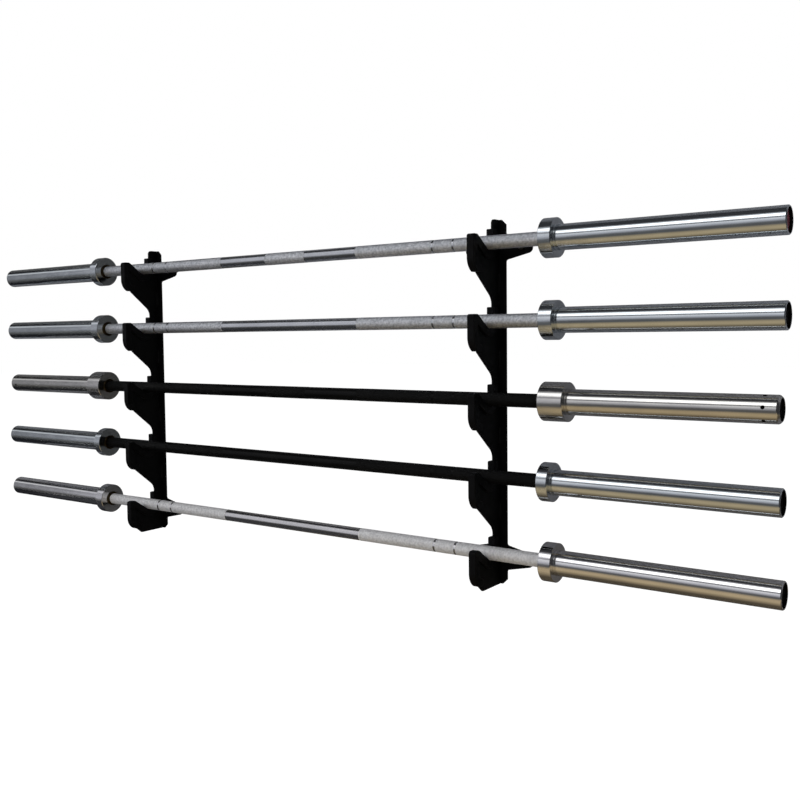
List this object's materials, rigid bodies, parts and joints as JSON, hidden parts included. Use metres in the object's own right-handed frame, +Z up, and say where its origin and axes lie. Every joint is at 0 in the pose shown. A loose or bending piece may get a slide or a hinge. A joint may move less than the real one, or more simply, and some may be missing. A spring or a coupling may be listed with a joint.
{
  "type": "wall-mounted barbell storage rack",
  "caption": "Two hooked steel uprights with plastic-lined cradles for a wall, holding full-length barbells one above another; each bar lifts out and its sleeves spin.",
  "frame": {"origin": "on the wall plane, midway between the two uprights and level with the middle bar's axis", "axes": "+X along the bars to the viewer's right, +Y into the wall, +Z up; the hooks reach out along -Y"},
  "size_m": [2.189, 0.1447, 0.7515],
  "materials": {
    "black_steel": "satin black powder coat",
    "liner_plastic": "matte black moulded plastic",
    "bolt_steel": "zinc-plated steel",
    "shaft_satin": "satin chromed steel, knurled",
    "shaft_black": "black oxide steel, knurled",
    "sleeve_bright": "bright chromed steel with fine turning lines",
    "sleeve_satin": "chromed steel with coarser turning lines",
    "bushing_bronze": "machined bronze",
    "end_bolt_black": "black oxide steel",
    "end_bolt_red": "dark red enamel over black"
  },
  "bodies": {
    "rack": {"left_hook_plate": "black_steel", "left_wall_plate": "black_steel", "left_liner_1": "liner_plastic", "left_liner_2": "liner_plastic", "left_liner_3": "liner_plastic", "left_liner_4": "liner_plastic", "left_liner_5": "liner_plastic", "left_wall_bolt_1": "bolt_steel", "left_wall_bolt_2": "bolt_steel", "left_wall_bolt_3": "bolt_steel", "left_wall_bolt_4": "bolt_steel", "right_hook_plate": "black_steel", "right_wall_plate": "black_steel", "right_liner_1": "liner_plastic", "right_liner_2": "liner_plastic", "right_liner_3": "liner_plastic", "right_liner_4": "liner_plastic", "right_liner_5": "liner_plastic", "right_wall_bolt_1": "bolt_steel", "right_wall_bolt_2": "bolt_steel", "right_wall_bolt_3": "bolt_steel", "right_wall_bolt_4": "bolt_steel"},
    "bar_1": {"bar_1_shaft": "shaft_satin", "bar_1_left_end_bolt": "end_bolt_red", "bar_1_right_end_bolt": "end_bolt_red"},
    "bar_1_left_sleeve": {"bar_1_left_sleeve": "sleeve_bright", "bar_1_left_bushing": "bushing_bronze"},
    "bar_1_right_sleeve": {"bar_1_right_sleeve": "sleeve_bright", "bar_1_right_bushing": "bushing_bronze"},
    "bar_2": {"bar_2_shaft": "shaft_satin", "bar_2_left_end_bolt": "end_bolt_black", "bar_2_right_end_bolt": "end_bolt_black"},
    "bar_2_left_sleeve": {"bar_2_left_sleeve": "sleeve_bright", "bar_2_left_bushing": "bushing_bronze"},
    "bar_2_right_sleeve": {"bar_2_right_sleeve": "sleeve_bright", "bar_2_right_bushing": "bushing_bronze"},
    "bar_3": {"bar_3_shaft": "shaft_black", "bar_3_left_end_bolt": "end_bolt_black", "bar_3_right_end_bolt": "end_bolt_black"},
    "bar_3_left_sleeve": {"bar_3_left_sleeve": "sleeve_satin", "bar_3_left_bushing": "bushing_bronze"},
    "bar_3_right_sleeve": {"bar_3_right_sleeve": "sleeve_satin", "bar_3_right_bushing": "bushing_bronze"},
    "bar_4": {"bar_4_shaft": "shaft_black", "bar_4_left_end_bolt": "end_bolt_black", "bar_4_right_end_bolt": "end_bolt_black"},
    "bar_4_left_sleeve": {"bar_4_left_sleeve": "sleeve_bright", "bar_4_left_bushing": "bushing_bronze"},
    "bar_4_right_sleeve": {"bar_4_right_sleeve": "sleeve_bright", "bar_4_right_bushing": "bushing_bronze"},
    "bar_5": {"bar_5_shaft": "shaft_satin", "bar_5_left_end_bolt": "end_bolt_black", "bar_5_right_end_bolt": "end_bolt_black"},
    "bar_5_left_sleeve": {"bar_5_left_sleeve": "sleeve_bright", "bar_5_left_bushing": "bushing_bronze"},
    "bar_5_right_sleeve": {"bar_5_right_sleeve": "sleeve_bright", "bar_5_right_bushing": "bushing_bronze"}
  },
  "joints": [
    {"name": "bar_1_lift", "type": "slide", "parent": "rack", "child": "bar_1", "axis": [0, -0.7071, 0.7071], "range_m": [0, 0.16]},
    {"name": "bar_1_left_sleeve_spin", "type": "hinge", "parent": "bar_1", "child": "bar_1_left_sleeve", "pos_m": [-0.663, -0.055, 0.314], "axis": [1, 0, 0], "continuous": true},
    {"name": "bar_1_right_sleeve_spin", "type": "hinge", "parent": "bar_1", "child": "bar_1_right_sleeve", "pos_m": [0.647, -0.055, 0.314], "axis": [1, 0, 0], "continuous": true},
    {"name": "bar_2_lift", "type": "slide", "parent": "rack", "child": "bar_2", "axis": [0, -0.7071, 0.7071], "range_m": [0, 0.16]},
    {"name": "bar_2_left_sleeve_spin", "type": "hinge", "parent": "bar_2", "child": "bar_2_left_sleeve", "pos_m": [-0.663, -0.055, 0.157], "axis": [1, 0, 0], "continuous": true},
    {"name": "bar_2_right_sleeve_spin", "type": "hinge", "parent": "bar_2", "child": "bar_2_right_sleeve", "pos_m": [0.647, -0.055, 0.157], "axis": [1, 0, 0], "continuous": true},
    {"name": "bar_3_lift", "type": "slide", "parent": "rack", "child": "bar_3", "axis": [0, -0.7071, 0.7071], "range_m": [0, 0.16]},
    {"name": "bar_3_left_sleeve_spin", "type": "hinge", "parent": "bar_3", "child": "bar_3_left_sleeve", "pos_m": [-0.665, -0.055, 0], "axis": [1, 0, 0], "continuous": true},
    {"name": "bar_3_right_sleeve_spin", "type": "hinge", "parent": "bar_3", "child": "bar_3_right_sleeve", "pos_m": [0.645, -0.055, 0], "axis": [1, 0, 0], "continuous": true},
    {"name": "bar_4_lift", "type": "slide", "parent": "rack", "child": "bar_4", "axis": [0, -0.7071, 0.7071], "range_m": [0, 0.16]},
    {"name": "bar_4_left_sleeve_spin", "type": "hinge", "parent": "bar_4", "child": "bar_4_left_sleeve", "pos_m": [-0.668, -0.055, -0.157], "axis": [1, 0, 0], "continuous": true},
    {"name": "bar_4_right_sleeve_spin", "type": "hinge", "parent": "bar_4", "child": "bar_4_right_sleeve", "pos_m": [0.642, -0.055, -0.157], "axis": [1, 0, 0], "continuous": true},
    {"name": "bar_5_lift", "type": "slide", "parent": "rack", "child": "bar_5", "axis": [0, -0.7071, 0.7071], "range_m": [0, 0.16]},
    {"name": "bar_5_left_sleeve_spin", "type": "hinge", "parent": "bar_5", "child": "bar_5_left_sleeve", "pos_m": [-0.664, -0.055, -0.314], "axis": [1, 0, 0], "continuous": true},
    {"name": "bar_5_right_sleeve_spin", "type": "hinge", "parent": "bar_5", "child": "bar_5_right_sleeve", "pos_m": [0.646, -0.055, -0.314], "axis": [1, 0, 0], "continuous": true}
  ]
}
